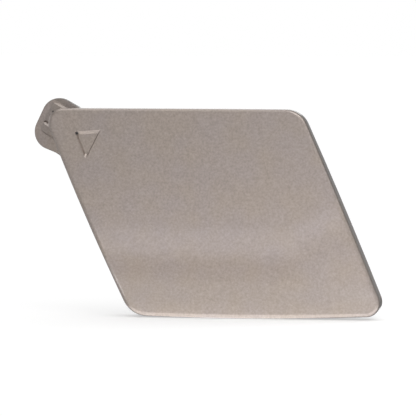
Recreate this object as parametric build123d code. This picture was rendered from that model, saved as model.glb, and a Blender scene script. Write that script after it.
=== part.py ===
from build123d import *
import os
from math import asin, cos, degrees, radians, sin, sqrt, tan

# Tow hook cover for a car bumper, moulded in one piece and painted in body colour.
# Millimetres. X runs right and Z runs up as seen from in front of the car, and Y runs into the bumper.
# Y = 0 is the plane of the rim, which seats on the bumper's ledge. The origin is the middle of the outline.

# Outline of the painted face, a leaning four-sided shape with bowed sides and rounded corners
top_length = 79.0
bottom_length = 76.95
height = 62.0
lean = 27.2
bottom_rise = 0.7
top_bow = 0.05
right_bow = 0.4
bottom_bow = 0.7
left_bow = 0.47
top_left_radius = 4.4
top_right_radius = 7.2
bottom_right_radius = 4.15
bottom_left_radius = 7.85

# Painted face, crowned both ways, with its furthest point low on the left
face_depth = 9.4
crown_height_radius = 420.0
crown_width_radius = 1200.0
crown_x = -28.0
crown_z = -26.0
wall = 2.2
flange_wall = 2.0
edge_radius = 1.3

# Press mark, a triangle with sloping walls sunk in the face, placed from the sharp top left corner
mark_width = 8.1
mark_height = 8.5
mark_point_right = 3.6
mark_tilt = 4.7
mark_left = 10.7
mark_down = 6.9
mark_depth = 0.8
mark_top_wall = 1.0
mark_right_wall = 0.45
mark_left_wall = 0.5
mark_point_rounding = 0.6

# Tongue that tucks behind the bumper skin, placed from the centre of the top left corner's rounding
tongue_angle = 25.5
tongue_reach = 8.1
tongue_drop = 1.8
tongue_width = 17.0
tongue_tip_thickness = 1.3
tongue_slope = 8.0
tongue_top_taper = 4.0
tongue_bottom_taper = 4.8
tongue_tip_radius = 5.5
tongue_edge_radius = 0.45
tongue_top_root_radius = 0.8
tongue_bottom_root_radius = 7.2

# Band that ramps up the tongue to the panel's corner, with a groove down its slope
band_above = 6.2
band_below = 4.1
band_tip_gap = 1.95
band_lead_height = 0.5
band_lead_slope = 40.0
band_slope = 24.0
band_inside_corner = 1.0
band_edge_depth = 0.75
band_edge_width = 0.65
groove_below = 0.65
groove_upper_wall = 0.45
groove_lower_wall = 0.8
groove_depth = 0.6

# Snap hooks, one on each side, which hold the cover on a ledge
ledge_thickness = 2.5
ledge_clearance = 0.1
hook_width = 7.0
hook_thickness = 1.7
hook_inset = 4.2
hook_catch = 1.3
hook_catch_angle = 35.0
hook_land = 0.5
hook_tip_length = 2.9
hook_tip_thickness = 0.9
hook_places = {"top": 0.70, "right": 0.48, "bottom": 0.42, "left": 0.36}
gusset_thickness = 1.2
gusset_length = 3.6
gusset_below_rim = 0.6

# Stiffening ribs behind the face, and ribs along the back of the tongue
rib_thickness = 1.2
rib_height = 1.4
ribs_across = 2
ribs_up = 3
tongue_ribs = 3
tongue_rib_height = 1.1
tongue_rib_spacing = 4.4
tongue_rib_tip_gap = 3.0

side_names = ["top", "right", "bottom", "left"]


def corner_points(inset=0):
    """The sharp corners of the outline, or of one inside it, clockwise from the top left."""
    shift = lean / 2
    half = height / 2
    corners = [
        Vector(-top_length / 2 - shift, half),
        Vector(top_length / 2 - shift, half),
        Vector(bottom_length / 2 + shift, -half + bottom_rise),
        Vector(-bottom_length / 2 + shift, -half),
    ]
    points = []
    for number, corner in enumerate(corners):
        back = (corners[number - 1] - corner).normalized()
        ahead = (corners[(number + 1) % 4] - corner).normalized()
        points.append(corner + (back + ahead) * inset / sin(radians(back.get_angle(ahead))))
    return points


def side_edges(inset=0):
    """The four bowed sides of the outline, clockwise: top, right, bottom and left."""
    points = corner_points(inset)
    full = corner_points()
    bows = [top_bow, right_bow, bottom_bow, left_bow]
    edges = []
    for number, bow in enumerate(bows):
        following = (number + 1) % 4
        start, end = points[number], points[following]
        share = (end - start).length / (full[following] - full[number]).length
        along = (end - start).normalized()
        outward = Vector(-along.Y, along.X)
        edges.append(ThreePointArc(start, (start + end) / 2 + outward * bow * share**2, end))
    return edges


def outline(inset=0):
    """The rounded outline of the cover seen from in front, or one inside it."""
    shape = make_face(side_edges(inset))
    radii = [top_left_radius, top_right_radius, bottom_right_radius, bottom_left_radius]
    for point, radius in zip(corner_points(inset), radii):
        shape = fillet(shape.vertices().sort_by_distance(point)[0], radius - inset)
    return shape


def prism(shape, front, back):
    """A shape drawn as seen from in front, made solid between two depths."""
    return extrude(Plane.XZ.offset(-back) * shape, amount=back - front)


def behind(depth):
    """The space behind a surface that lies a given depth below the crowned face."""
    front = depth - face_depth
    height_radius = crown_height_radius - depth
    width_radius = crown_width_radius - depth
    reach_up = height
    reach_across = top_length + lean
    back = ledge_thickness + hook_catch + hook_tip_length + face_depth
    set_back = height_radius - sqrt(height_radius**2 - reach_up**2)
    low = (front + set_back, crown_z - reach_up)
    high = (front + set_back, crown_z + reach_up)
    rim = [low, (back, low[1]), (back, high[1]), high]
    profile = make_face([ThreePointArc(high, (front, crown_z), low), *Polyline(*rim).edges()])
    swing = degrees(asin(reach_across / width_radius))
    pivot = Axis((0, front + width_radius, 0), (0, 0, 1))
    space = revolve(Plane.YZ * profile, axis=pivot, revolution_arc=2 * swing)
    return Pos(crown_x, 0, 0) * space.rotate(pivot, -swing)


def face_point(x, z):
    """The point of the painted face at x and z, before the mark is sunk."""
    fall = crown_height_radius - sqrt(crown_height_radius**2 - (z - crown_z) ** 2)
    ring = crown_width_radius - fall
    return Vector(x, crown_width_radius - face_depth - sqrt(ring**2 - (x - crown_x) ** 2), z)


def face_plane(x, z):
    """The plane that touches the painted face at x and z, with its normal pointing out."""
    point = face_point(x, z)
    step = 0.5
    across = face_point(x + step, z) - face_point(x - step, z)
    up = face_point(x, z + step) - face_point(x, z - step)
    return Plane(point, x_dir=across, z_dir=across.cross(up))


def shell():
    """The closed outer form of the panel, with its front edge rolled."""
    body = prism(outline(), -face_depth - 1, 0) & behind(0)
    painted = body.faces().sort_by(Axis.Y)[0]
    return fillet(painted.edges(), edge_radius)


def hollow():
    """The space inside the flange, open at the rim."""
    return prism(outline(flange_wall), -face_depth, 0) & behind(wall)


def inset_triangle(points, insets):
    """A triangle inside another, or outside it, at its own distance from each side."""
    corners = []
    for number, corner in enumerate(points):
        back = (points[number - 1] - corner).normalized()
        ahead = (points[(number + 1) % 3] - corner).normalized()
        shift = back * insets[number] + ahead * insets[number - 1]
        corners.append(corner + shift / sin(radians(back.get_angle(ahead))))
    return make_face(Polyline(*corners, close=True))


def press_mark():
    """The triangle that is sunk in the face above the tongue, with its lower point rounded."""
    corner = corner_points()[0]
    plane = face_plane(corner.X + mark_left + mark_width / 2, corner.Y - mark_down - mark_height / 2)
    tilt = radians(mark_tilt)
    left = Vector(-mark_width / 2, mark_height / 2)
    right = left + Vector(mark_width * cos(tilt), mark_width * sin(tilt))
    point = left + Vector(mark_point_right, -mark_height)
    walls = [mark_top_wall, mark_right_wall, mark_left_wall]
    above = 0.3
    top = inset_triangle([left, right, point], [-wall_width * above / mark_depth for wall_width in walls])
    floor = inset_triangle([left, right, point], walls)
    sunk = loft([plane * Pos(0, 0, above) * top, plane * Pos(0, 0, -mark_depth) * floor])
    low = plane.from_local_coords(point)
    sloping = sunk.edges().filter_by(lambda edge: edge.length < mark_height / 2)
    return fillet(sloping.sort_by_distance(low)[0], mark_point_rounding)


def corner_centre():
    """The centre of the top left corner's rounding."""
    return corner_points(top_left_radius)[0]


def tongue_frame():
    """The directions out along the tongue and up across it."""
    angle = radians(tongue_angle)
    return Vector(-cos(angle), sin(angle)), Vector(sin(angle), cos(angle))


def tongue_shape():
    """The tongue and the panel as one flat shape, with filleted roots."""
    out, up = tongue_frame()
    middle = corner_centre() - up * tongue_drop
    length = tongue_reach + tongue_width
    tip = middle + out * tongue_reach
    root = tip - out * length
    half = up * tongue_width / 2
    high_root = root + half - up * length * tan(radians(tongue_top_taper))
    low_root = root - half + up * length * tan(radians(tongue_bottom_taper))
    points = [high_root, tip + half, tip - half, low_root]
    tongue = make_face(Polyline(*points, close=True))
    tongue = fillet([tongue.vertices().sort_by_distance(p)[0] for p in points[1:3]], tongue_tip_radius)
    panel = outline()
    joined = panel + tongue
    outlines = [panel.wire(), tongue.wire()]
    roots = joined.vertices().filter_by(lambda v: all(v.distance_to(wire) < 0.001 for wire in outlines))
    roots = roots.sort_by(Axis.Y)
    joined = fillet(roots[0], tongue_bottom_root_radius)
    top_root = joined.vertices().sort_by_distance(roots[-1])[0]
    return fillet(top_root, tongue_top_root_radius)


def tongue_profile(shift):
    """The plane along the tongue, moved up across it, where x runs to the tip and y runs back."""
    out, up = tongue_frame()
    middle = corner_centre() - up * (tongue_drop - shift)
    return Plane((middle.X, 0, middle.Y), x_dir=(out.X, 0, out.Y), z_dir=(-up.X, 0, -up.Y))


def tongue_front(reach):
    """The depth of the tongue's sloping front at a distance along it."""
    return -tongue_tip_thickness - (tongue_reach - reach) * tan(radians(tongue_slope))


def tongue():
    """The tongue, flat behind and sloping in front, with its front edge rounded."""
    far = tongue_reach + 1
    points = [(far, 0), (far, tongue_front(far)), (-far, tongue_front(-far)), (-far, 0)]
    side = make_face(Polyline(*points, close=True))
    wedge = extrude(tongue_profile(0) * side, amount=tongue_width, both=True)
    plate = prism(tongue_shape(), -face_depth, 0) & wedge
    front = plate.faces().sort_by(SortBy.AREA)[-2:].sort_by(Axis.Y)[0]
    return fillet(front.edges(), tongue_edge_radius)


def band_start():
    """How far along the tongue the band's lead-in starts and ends."""
    foot = tongue_reach - band_tip_gap
    return foot, foot - band_lead_height / tan(radians(band_lead_slope))


def band_front(reach):
    """The depth of the band's slope at a distance along the tongue."""
    foot, start = band_start()
    return tongue_front(foot) - band_lead_height - (start - reach) * tan(radians(band_slope))


def band():
    """The band that ramps from near the tongue's tip up to the panel's corner, with bevelled edges."""
    foot, start = band_start()
    inner = -band_inside_corner
    root = -tongue_tip_thickness / 2
    points = [
        (foot, root),
        (foot, tongue_front(foot)),
        (start, band_front(start)),
        (inner, band_front(inner)),
        (inner, root),
    ]
    side = make_face(Polyline(*points, close=True))
    middle = tongue_profile((band_above - band_below) / 2)
    bar = extrude(middle * side, amount=(band_above + band_below) / 2, both=True)
    across = Axis(middle.origin, middle.z_dir)
    for number in (0, -1):
        end = bar.faces().filter_by(across).sort_by(across)[number]
        front = bar.faces().filter_by(lambda face: face.normal_at().Y < -0.5)
        bar = chamfer(end.edges() & front.edges(), band_edge_depth, band_edge_width, reference=end)
    return bar


def groove():
    """The space of the groove that runs up the band's slope from its foot."""
    profile = tongue_profile(-groove_below)
    slope = radians(band_slope)
    uphill = profile.x_dir * -cos(slope) - profile.y_dir * sin(slope)
    foot = band_start()[0]
    section = Plane(profile.from_local_coords((foot, band_front(foot))), x_dir=profile.z_dir, z_dir=uphill)
    above = 1.0
    share = 1 + above / groove_depth
    upper = (-groove_upper_wall * share, -above)
    lower = (groove_lower_wall * share, -above)
    notch = make_face(Polyline((0, groove_depth), upper, lower, close=True))
    return extrude(section * notch, amount=tongue_reach)


def tongue_back_ribs():
    """Ribs that run along the back of the tongue, over the rim and down to the inside of the face."""
    tip = tongue_reach - tongue_rib_tip_gap
    back = tongue_rib_height
    points = [
        (tip, -face_depth),
        (tip, 0),
        (tip - back, back),
        (0, back),
        (-face_depth - back, -face_depth),
    ]
    side = make_face(Polyline(*points, close=True))
    ribs = []
    for number in range(tongue_ribs):
        shift = (number - (tongue_ribs - 1) / 2) * tongue_rib_spacing
        ribs.append(extrude(tongue_profile(shift) * side, amount=rib_thickness / 2, both=True))
    inside = prism(outline(flange_wall / 2), -face_depth, back) & behind(wall / 2)
    on_tongue = prism(tongue_shape(), -tongue_tip_thickness / 2, back)
    return Part() + [rib & (inside + on_tongue) for rib in ribs]


def side_plane(side, place):
    """A plane across a side of the outline, where x points out of the cover and y runs back."""
    edge = side_edges()[side_names.index(side)]
    point = edge @ place
    along = (edge % place).normalized()
    return Plane((point.X, 0, point.Y), x_dir=(-along.Y, 0, along.X), z_dir=(-along.X, 0, -along.Y))


def hook(side):
    """A snap hook on a side, with its gusset."""
    plane = side_plane(side, hook_places[side])
    outer = -hook_inset
    inner = outer - hook_thickness
    nose = outer + hook_catch
    catch = ledge_thickness + ledge_clearance
    land = catch + hook_catch * tan(radians(hook_catch_angle))
    tip = land + hook_land + hook_tip_length
    points = [
        (outer, -face_depth),
        (outer, catch),
        (nose, land),
        (nose, land + hook_land),
        (inner + hook_tip_thickness, tip),
        (inner, tip),
        (inner, -face_depth),
    ]
    stem = extrude(plane * make_face(Polyline(*points, close=True)), amount=hook_width / 2, both=True)
    web = [
        (outer, -gusset_below_rim),
        (inner, -gusset_below_rim),
        (inner - gusset_length, -face_depth),
        (outer, -face_depth),
    ]
    gusset = extrude(plane * make_face(Polyline(*web, close=True)), amount=gusset_thickness / 2, both=True)
    return stem + gusset


def strip(start, end, width):
    """A flat strip between two points."""
    along = (end - start).normalized()
    across = Vector(-along.Y, along.X) * width / 2
    return make_face(Polyline(start - across, end - across, end + across, start + across, close=True))


def face_ribs():
    """Low ribs that stiffen the face, set along its sides' directions."""
    top_left, top_right, bottom_right, bottom_left = corner_points()
    strips = []
    for number in range(ribs_across):
        share = (number + 1) / (ribs_across + 1)
        left = top_left + (bottom_left - top_left) * share
        right = top_right + (bottom_right - top_right) * share
        strips.append(strip(left, right, rib_thickness))
    for number in range(ribs_up):
        share = (number + 1) / (ribs_up + 1)
        top = top_left + (top_right - top_left) * share
        bottom = bottom_left + (bottom_right - bottom_left) * share
        strips.append(strip(top, bottom, rib_thickness))
    grid = (Sketch() + strips) & outline(flange_wall / 2)
    return prism(grid, -face_depth, 0) & behind(wall / 2) - behind(wall + rib_height)


def cover():
    """The whole cover as one solid."""
    body = shell() + (tongue() + band() - groove()) - hollow()
    for side in side_names:
        body += hook(side) & behind(wall / 2)
    body += face_ribs()
    body += tongue_back_ribs()
    return body - press_mark()


os.makedirs("parts", exist_ok=True)
export_step(cover(), "parts/tow_hook_cover.step")
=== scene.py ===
from math import cos, radians, sin

import bpy
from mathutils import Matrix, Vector


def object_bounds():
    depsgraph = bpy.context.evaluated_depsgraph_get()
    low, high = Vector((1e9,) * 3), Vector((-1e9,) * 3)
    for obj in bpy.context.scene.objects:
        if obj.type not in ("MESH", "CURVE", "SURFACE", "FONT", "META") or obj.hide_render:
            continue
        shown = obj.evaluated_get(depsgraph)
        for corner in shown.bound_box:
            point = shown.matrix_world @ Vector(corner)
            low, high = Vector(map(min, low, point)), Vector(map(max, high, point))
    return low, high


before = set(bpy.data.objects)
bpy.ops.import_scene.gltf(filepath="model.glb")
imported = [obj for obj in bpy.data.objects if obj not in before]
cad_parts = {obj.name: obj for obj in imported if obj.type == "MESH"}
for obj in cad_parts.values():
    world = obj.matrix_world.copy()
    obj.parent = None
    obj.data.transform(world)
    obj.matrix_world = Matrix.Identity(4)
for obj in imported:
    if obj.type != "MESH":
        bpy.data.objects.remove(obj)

# Metres and degrees, unless a name says otherwise. The cover's front looks toward -Y, and Z is up.
cad_low, cad_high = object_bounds()
mm = 0.001

# Camera, in front of the cover and a little to the right and above, as in the photograph
camera_turn = 10.0
camera_rise = 4.0
camera_distance = 0.9
camera_aim = Vector((-2.02, -4.0, 1.33)) * mm
frame_width = 124.8 * mm
sensor_width_in_mm = 36.0
nearest_seen = 10 * mm
farthest_seen = 50.0

# Floor, just under the cover, with two layers of cards that lie a hair above it
floor_size = 8.0
floor_drop = 0.12 * mm
floor_colour = (0.6, 0.6, 0.6, 1)
floor_glow = 0.46
floor_level = cad_low.z - floor_drop
lower_level = cad_low.z - floor_drop / 2
upper_level = lower_level + floor_drop / 4

# Lamps
world_light = 0.27
lamp_place = Vector((0, 0, 1))
lamp_turn = 150.0
lamp_rise = 78.0
lamp_softness = 110.0
lamp_strength = 2.15
fill_place = Vector((90, -100, 20)) * mm
fill_aim = Vector((38, -6, -33)) * mm
fill_width = 60 * mm
fill_power = 0.045

# Cards, which only the paint's reflections show
overhead_level = 1.0
near_level = 130 * mm
bar_plane = -130 * mm
crown_turn = 1.8
white = (1, 1, 1)
warm = (1.03, 1.0, 0.92)
cool = (0.99, 0.98, 1.06)

# Paint, with its flakes, a faint cloudiness, a drift of colour and a fine orange peel in the coat
paint_colour = (0.335, 0.284, 0.261)
paint_warm = (0.34, 0.284, 0.247)
flake_scale = 1500.0
flake_detail = 3.0
flake_roughness = 0.65
flake_depth = 0.2
cloud_scale = 450.0
cloud_detail = 2.0
cloud_depth = 0.03
noise_span = (0.25, 0.75)
drift_scale = 110.0
drift_detail = 1.0
drift_span = (0.35, 0.65)
paint_metallic = 0.75
paint_roughness = 0.42
coat_roughness = 0.1
peel_scale = 700.0
peel_detail = 1.0
peel_strength = 0.05
peel_height = 0.2 * mm

# Bare plastic behind, and how far round the cover's edge the paint reaches
plastic_colour = (0.032, 0.032, 0.034)
plastic_roughness = 0.55
half_height = 31.0 * mm
half_length = 39.2 * mm
lean_share = 27.2 / 62.0
edge_reach = 3.0 * mm
edge_blend = 0.8
rim_reach = 0.15 * mm
front_facing = (-0.15, -0.3)
back_facing = (0.4, 0.2)

# Painted shade: small dark patches in two deep corners, where the paint gives way to bare plastic, each at
# an x and a z with a size
shade_spots = [(-41.75 * mm, 23.6 * mm, 0.45 * mm), (-49.9 * mm, 29.9 * mm, 0.3 * mm)]
spot_edge = (0.6, 1.4)

# Painted shade: the tongue's upper strip is darkened by thinning its paint toward bare plastic, and its
# up-facing rim more so
tongue_lean = radians(25.5)
strip_start = 8.7 * mm
strip_low = 31.05 * mm
strip_blend = 1.02
strip_low_blend = 1.005
strip_shade_depth = 0.22
rim_shade_depth = 0.55
up_facing = (0.2, 0.6)

# Numbers of the colour sockets on a Mix node
first_colour = 6
second_colour = 7
mixed_colour = 2


def give(tree, socket, value):
    """Sets a socket to a value, or links it where the value comes from another node."""
    if isinstance(value, bpy.types.NodeSocket):
        tree.links.new(value, socket)
    else:
        socket.default_value = value


def node(tree, kind, **inputs):
    """A shader node of a kind, with its named inputs set or linked."""
    made = tree.nodes.new(kind)
    for name, value in inputs.items():
        give(tree, made.inputs[name.replace("_", " ")], value)
    return made


def maths(tree, operation, *values):
    """One step of arithmetic on one or two values."""
    made = tree.nodes.new("ShaderNodeMath")
    made.operation = operation
    for socket, value in zip(made.inputs, values):
        give(tree, socket, value)
    return made.outputs[0]


def ramp(tree, value, start, end, low=0.0, high=1.0):
    """A value that runs from low to high while another runs from start to end."""
    made = node(tree, "ShaderNodeMapRange", Value=value, From_Min=start, From_Max=end,
                To_Min=low, To_Max=high)
    return made.outputs[0]


def blend(tree, share, low, high):
    """A mix of two numbers by a share."""
    return maths(tree, "ADD", low, maths(tree, "MULTIPLY", share, high - low))


def mix_colours(tree, share, first, second):
    """A mix of two colours by a share."""
    made = tree.nodes.new("ShaderNodeMix")
    made.data_type = "RGBA"
    give(tree, made.inputs[0], share)
    give(tree, made.inputs[first_colour], first)
    give(tree, made.inputs[second_colour], second)
    return made.outputs[mixed_colour]


def new_material(name):
    """A material with an empty node tree."""
    material = bpy.data.materials.new(name)
    material.use_nodes = True
    material.node_tree.nodes.clear()
    return material


def finish_surface(tree, shader):
    """Makes a shader the surface of its material."""
    out = tree.nodes.new("ShaderNodeOutputMaterial")
    tree.links.new(shader.outputs[0], out.inputs["Surface"])


def seen_by_camera(tree):
    """One for the rays that show the background, straight or in a gloss or through glass."""
    path = tree.nodes.new("ShaderNodeLightPath")
    gloss = maths(tree, "MAXIMUM", path.outputs["Is Glossy Ray"], path.outputs["Is Transmission Ray"])
    return maths(tree, "MAXIMUM", path.outputs["Is Camera Ray"], gloss)


def make_world():
    """Even white light from all round, and a white background."""
    world = bpy.data.worlds.new("studio")
    world.use_nodes = True
    tree = world.node_tree
    tree.nodes.clear()
    light = node(tree, "ShaderNodeBackground", Color=(*white, 1), Strength=world_light)
    background = node(tree, "ShaderNodeBackground", Color=(*white, 1), Strength=1.0)
    mixed = node(tree, "ShaderNodeMixShader", Fac=seen_by_camera(tree))
    tree.links.new(light.outputs[0], mixed.inputs[1])
    tree.links.new(background.outputs[0], mixed.inputs[2])
    out = tree.nodes.new("ShaderNodeOutputWorld")
    tree.links.new(mixed.outputs[0], out.inputs["Surface"])
    bpy.context.scene.world = world


def toward(turn, rise):
    """The direction to the right of the front by one angle and above it by another."""
    turn = radians(turn)
    rise = radians(rise)
    return Vector((sin(turn) * cos(rise), -cos(turn) * cos(rise), sin(rise)))


def rectangle(name, centre, across, up):
    """A flat four-sided mesh about a centre, from half its width and half its height."""
    corners = [centre - across - up, centre + across - up, centre + across + up, centre - across + up]
    mesh = bpy.data.meshes.new(name)
    mesh.from_pydata([tuple(c) for c in corners], [], [(0, 1, 2, 3)])
    made = bpy.data.objects.new(name, mesh)
    bpy.context.scene.collection.objects.link(made)
    return made


def make_floor():
    """A pale floor under the cover, white to the camera where no shadow falls."""
    half = floor_size / 2
    floor = rectangle("floor", Vector((0, 0, floor_level)), Vector((half, 0, 0)), Vector((0, half, 0)))
    material = new_material("floor_white")
    tree = material.node_tree
    matt = node(tree, "ShaderNodeBsdfDiffuse", Color=floor_colour)
    seen_glow = maths(tree, "MULTIPLY", seen_by_camera(tree), floor_glow)
    glow = node(tree, "ShaderNodeEmission", Strength=seen_glow)
    both = tree.nodes.new("ShaderNodeAddShader")
    tree.links.new(matt.outputs[0], both.inputs[0])
    tree.links.new(glow.outputs[0], both.inputs[1])
    finish_surface(tree, both)
    floor.data.materials.append(material)


def place_lamp(lamp, place, direction):
    """Puts a lamp at a place, shining from a direction, and keeps it out of the glosses."""
    made = bpy.data.objects.new(lamp.name, lamp)
    made.location = place
    made.rotation_euler = direction.to_track_quat("Z", "Y").to_euler()
    made.visible_glossy = False
    bpy.context.scene.collection.objects.link(made)


def make_lamps():
    """One broad soft light from above, and a weak one low in front, aimed at the lower right corner."""
    broad = bpy.data.lights.new("broad_lamp", "SUN")
    broad.energy = lamp_strength
    broad.angle = radians(lamp_softness)
    place_lamp(broad, lamp_place, toward(lamp_turn, lamp_rise))
    fill = bpy.data.lights.new("fill_lamp", "AREA")
    fill.energy = fill_power
    fill.size = fill_width
    place_lamp(fill, fill_place, fill_place - fill_aim)


def faded(tree, brightness, edge_brightness):
    """A brightness that falls off evenly from the middle of a card to its edge."""
    middle = 0.5
    coordinates = tree.nodes.new("ShaderNodeTexCoord")
    place = node(tree, "ShaderNodeSeparateXYZ", Vector=coordinates.outputs["Generated"])
    shares = []
    for along in place.outputs[:2]:
        away = maths(tree, "ABSOLUTE", maths(tree, "SUBTRACT", along, middle))
        share = node(tree, "ShaderNodeMapRange", Value=away, From_Min=middle, From_Max=0.0)
        share.interpolation_type = "SMOOTHSTEP"
        shares.append(share.outputs[0])
    return blend(tree, maths(tree, "MULTIPLY", *shares), edge_brightness, brightness)


def card(name, centre, across, up, brightness, colour=white, edge_brightness=None):
    """A flat card that only glossy reflections show, faded where an edge brightness is given."""
    made = rectangle(name, centre, across / 2, up / 2)
    material = new_material(name)
    tree = material.node_tree
    if edge_brightness is not None:
        brightness = faded(tree, brightness, edge_brightness)
    finish_surface(tree, node(tree, "ShaderNodeEmission", Color=(*colour, 1), Strength=brightness))
    made.data.materials.append(material)
    made.visible_camera = False
    made.visible_diffuse = False
    made.visible_transmission = False
    made.visible_shadow = False


def standing_card(name, turn, rise, distance, width, height, brightness):
    """A card that faces the cover from a direction."""
    out = toward(turn, rise)
    across = Vector((cos(radians(turn)), sin(radians(turn)), 0))
    card(name, out * distance, across * width, out.cross(across) * height, brightness)


def lying_card(name, x, y, level, brightness, colour=white, turn=0.0, edge=None):
    """A level card over a span of x and one of y, turned a little about its middle."""
    centre = Vector((sum(x) / 2, sum(y) / 2, level))
    across = Vector((cos(radians(turn)), sin(radians(turn)), 0))
    along = Vector((-sin(radians(turn)), cos(radians(turn)), 0))
    card(name, centre, across * (x[1] - x[0]), along * (y[1] - y[0]), brightness, colour, edge)


def bar(name, left, right, height, brightness, colour=white):
    """An upright bar in front of the cover between two points of one plane, as (x, z)."""
    left = Vector((left[0], bar_plane, left[1]))
    right = Vector((right[0], bar_plane, right[1]))
    across = right - left
    up = across.normalized().cross(Vector((0, 1, 0))) * -height
    card(name, (left + right) / 2, across, up, brightness, colour)


def make_overhead_cards():
    """Above, bright over the left end, dark behind the right one and brightest in front of that."""
    lying_card("overhead_card", x=(-0.4, 0.02), y=(0.12, 0.36), level=overhead_level, brightness=1.2)
    lying_card("overhead_back_card", x=(-0.42, 0.02), y=(0.36, 0.66), level=overhead_level, brightness=1.0)
    lying_card("overhead_left_card", x=(-0.6, -0.26), y=(-0.3, 0.12), level=overhead_level, brightness=2.2)
    lying_card("overhead_near_card", x=(-0.08, -0.057), y=(-0.03, 0.03), level=near_level, brightness=1.5)
    lying_card("dark_overhead_card", x=(0.08, 0.95), y=(0.03, 0.8), level=overhead_level, brightness=0.3)
    lying_card("overhead_front_card", x=(0.13, 0.95), y=(-0.5, 0.0), level=overhead_level, brightness=3.4)


def make_floor_cards():
    """On the floor, bright in front of the cover and dark under it and at its sides."""
    lying_card("bounce_card", x=(-0.06, 0.12), y=(-0.15, -0.03), level=lower_level,
               brightness=1.45, colour=warm)
    lying_card("edge_bounce_card", x=(-0.028, 0.06), y=(-0.018, -0.0075), level=lower_level,
               brightness=2.3, turn=crown_turn)
    lying_card("mark_bounce_card", x=(-0.066, -0.034), y=(-0.062, -0.028), level=upper_level,
               brightness=6.0, edge=1.3)
    lying_card("right_bounce_card", x=(0.02, 0.11), y=(-0.14, -0.045), level=upper_level,
               brightness=3.2, edge=1.45)
    lying_card("dark_under_card", x=(-0.03, 0.055), y=(-0.0075, 0.006), level=lower_level,
               brightness=0.45, turn=crown_turn)
    lying_card("dark_floor_left", x=(-0.8, -0.03), y=(-0.018, 0.3), level=lower_level, brightness=0.6)
    lying_card("dark_floor_far_left", x=(-0.8, -0.07), y=(-0.3, -0.018), level=lower_level, brightness=0.6)
    lying_card("dark_floor_right", x=(0.0505, 0.5), y=(-0.006, 0.6), level=lower_level, brightness=0.2)


def make_side_cards():
    """Bright ones high in front, at the left and at the right, and dark ones behind the right end."""
    standing_card("high_card", turn=0, rise=40, distance=1.4, width=2.6, height=2.0, brightness=0.83)
    standing_card("left_card", turn=-61, rise=18, distance=1.2, width=1.94, height=1.8, brightness=0.58)
    standing_card("left_high_card", turn=-110, rise=38, distance=1.0, width=1.1, height=0.5,
                  brightness=0.3)
    standing_card("back_left_card", turn=-132, rise=5, distance=1.2, width=1.5, height=1.3,
                  brightness=0.9)
    standing_card("right_card", turn=62, rise=8, distance=1.2, width=2.4, height=1.0, brightness=0.82)
    standing_card("dark_right_card", turn=127, rise=12, distance=1.0, width=0.68, height=2.0,
                  brightness=0.08)
    standing_card("dark_back_card", turn=161, rise=12, distance=1.0, width=0.6, height=2.0,
                  brightness=0.27)


def make_bars():
    """Close in front, a bright bar at mid height and a dark one below, each in two parts."""
    bar("bright_bar_left", left=(-0.1, -0.0085), right=(0.02, -0.0085), height=0.013,
        brightness=2.0, colour=cool)
    bar("bright_bar_right", left=(0.016, -0.005), right=(0.05, 0.012), height=0.009,
        brightness=2.0, colour=cool)
    bar("dark_bar_left", left=(-0.1, -0.022), right=(0.018, -0.022), height=0.009, brightness=0.25)
    bar("dark_bar_right", left=(0.012, -0.0215), right=(0.05, -0.0025), height=0.0035, brightness=0.4)


def make_camera():
    """The camera at the photograph's angle."""
    back = toward(camera_turn, camera_rise)
    camera = bpy.data.cameras.new("camera")
    camera.sensor_width = sensor_width_in_mm
    camera.lens = sensor_width_in_mm * camera_distance / frame_width
    camera.clip_start = nearest_seen
    camera.clip_end = farthest_seen
    made = bpy.data.objects.new("camera", camera)
    made.location = camera_aim + back * camera_distance
    made.rotation_euler = (-back).to_track_quat("-Z", "Y").to_euler()
    bpy.context.scene.collection.objects.link(made)
    bpy.context.scene.camera = made


def outside_share(tree, x, z, normal):
    """One near the cover's outline where the surface looks outward, and nothing elsewhere."""
    slanted = maths(tree, "ADD", x, maths(tree, "MULTIPLY", z, lean_share))
    past_end = maths(tree, "SUBTRACT", maths(tree, "ABSOLUTE", slanted), half_length)
    past_top = maths(tree, "SUBTRACT", maths(tree, "ABSOLUTE", z), half_height)
    past_edge = maths(tree, "MAXIMUM", past_end, past_top)
    at_edge = ramp(tree, past_edge, -edge_reach, -edge_reach * edge_blend)
    outward_x = maths(tree, "MULTIPLY", normal.outputs[0], x)
    outward_z = maths(tree, "MULTIPLY", normal.outputs[2], z)
    outward = maths(tree, "GREATER_THAN", maths(tree, "ADD", outward_x, outward_z), 0.0)
    return maths(tree, "MULTIPLY", at_edge, outward)


def painted_tongue_shade(tree, x, z, normal):
    """Painted shade as a share of paint: less on the tongue's upper strip and least on that strip's
    up-facing rim, to darken them.
    """
    across_x = maths(tree, "MULTIPLY", x, sin(tongue_lean))
    across_z = maths(tree, "MULTIPLY", z, cos(tongue_lean))
    across = maths(tree, "ADD", across_x, across_z)
    above_start = ramp(tree, across, strip_start, strip_start * strip_blend)
    above_panel = ramp(tree, z, strip_low, strip_low * strip_low_blend)
    strip = maths(tree, "MULTIPLY", above_start, above_panel)
    on_rim = ramp(tree, normal.outputs[2], *up_facing)
    shade_depth = blend(tree, on_rim, strip_shade_depth, rim_shade_depth)
    return maths(tree, "SUBTRACT", 1.0, maths(tree, "MULTIPLY", strip, shade_depth))


def paint_reach_and_shade(tree, coordinates):
    """How fully the paint covers the front and the outside of the walls, and nothing behind, less where
    shade is painted on the tongue's upper strip.
    """
    place = node(tree, "ShaderNodeSeparateXYZ", Vector=coordinates.outputs["Object"])
    normal = node(tree, "ShaderNodeSeparateXYZ", Vector=coordinates.outputs["Normal"])
    x, y, z = place.outputs
    front = ramp(tree, normal.outputs[1], *front_facing)
    not_back = ramp(tree, normal.outputs[1], *back_facing)
    before_rim = ramp(tree, y, rim_reach, 0.0)
    outside = maths(tree, "MULTIPLY", outside_share(tree, x, z, normal), not_back)
    reached = maths(tree, "MULTIPLY", maths(tree, "MAXIMUM", outside, front), before_rim)
    return maths(tree, "MULTIPLY", reached, painted_tongue_shade(tree, x, z, normal))


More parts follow.
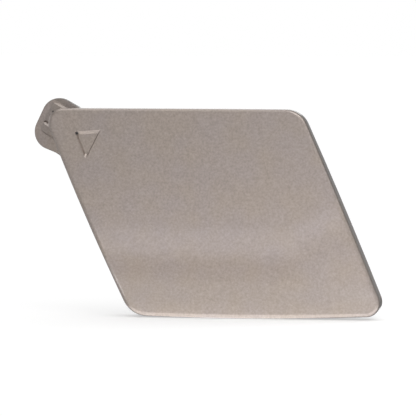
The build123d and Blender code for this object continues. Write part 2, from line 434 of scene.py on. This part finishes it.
def painted_shade_spots(tree, place):
    """Painted shade: nothing in small dark patches in two deep corners, and one elsewhere."""
    unshaded = 1.0
    for x, z, size in shade_spots:
        away = node(tree, "ShaderNodeVectorMath", Vector=place)
        away.operation = "SUBTRACT"
        away.inputs[1].default_value = (x, 0, z)
        flat = node(tree, "ShaderNodeVectorMath", Vector=away.outputs[0])
        flat.operation = "MULTIPLY"
        flat.inputs[1].default_value = (1, 0, 1)
        distance = node(tree, "ShaderNodeVectorMath", Vector=flat.outputs[0])
        distance.operation = "LENGTH"
        clear = ramp(tree, distance.outputs["Value"], size * spot_edge[0], size * spot_edge[1])
        unshaded = maths(tree, "MULTIPLY", unshaded, clear)
    return unshaded


def paint_tone(tree, place):
    """The paint's colour with its flakes, a faint cloudiness and a drift between warm and cool."""
    flake = node(tree, "ShaderNodeTexNoise", Vector=place, Scale=flake_scale, Detail=flake_detail,
                 Roughness=flake_roughness)
    cloud = node(tree, "ShaderNodeTexNoise", Vector=place, Scale=cloud_scale, Detail=cloud_detail)
    drift = node(tree, "ShaderNodeTexNoise", Vector=place, Scale=drift_scale, Detail=drift_detail)
    grain = ramp(tree, flake.outputs["Fac"], *noise_span, 1 - flake_depth, 1 + flake_depth)
    clouds = ramp(tree, cloud.outputs["Fac"], *noise_span, 1 - cloud_depth, 1 + cloud_depth)
    warmth = ramp(tree, drift.outputs["Fac"], *drift_span)
    hue = mix_colours(tree, warmth, (*paint_colour, 1), (*paint_warm, 1))
    tone = node(tree, "ShaderNodeVectorMath", Vector=hue)
    tone.operation = "SCALE"
    tree.links.new(maths(tree, "MULTIPLY", grain, clouds), tone.inputs["Scale"])
    return tone.outputs[0]


def painted_plastic():
    """Champagne metallic paint under clear coat, over dark plastic that is bare behind."""
    material = new_material("painted_plastic")
    tree = material.node_tree
    coordinates = tree.nodes.new("ShaderNodeTexCoord")
    place = coordinates.outputs["Object"]
    # The paint's coverage, lowered for painted shade on the tongue's upper strip and in two deep corners,
    # which darkens them toward bare plastic
    coverage_and_shade = maths(tree, "MULTIPLY", paint_reach_and_shade(tree, coordinates), painted_shade_spots(tree, place))
    colour = mix_colours(tree, coverage_and_shade, (*plastic_colour, 1), paint_tone(tree, place))
    metallic = maths(tree, "MULTIPLY", coverage_and_shade, paint_metallic)
    roughness = blend(tree, coverage_and_shade, plastic_roughness, paint_roughness)
    peel = node(tree, "ShaderNodeTexNoise", Vector=place, Scale=peel_scale, Detail=peel_detail)
    bump = node(tree, "ShaderNodeBump", Strength=peel_strength, Distance=peel_height,
                Height=peel.outputs["Fac"])
    surface = node(tree, "ShaderNodeBsdfPrincipled", Base_Color=colour, Metallic=metallic,
                   Roughness=roughness, Coat_Weight=coverage_and_shade, Coat_Roughness=coat_roughness,
                   Coat_Normal=bump.outputs[0])
    finish_surface(tree, surface)
    return material


def main():
    """Dresses the cover and sets up its studio."""
    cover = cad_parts["tow_hook_cover"]
    cover.material_slots[0].material = painted_plastic()
    bpy.context.scene.view_settings.view_transform = "Standard"
    make_world()
    make_floor()
    make_lamps()
    make_overhead_cards()
    make_floor_cards()
    make_side_cards()
    make_bars()
    make_camera()


main()
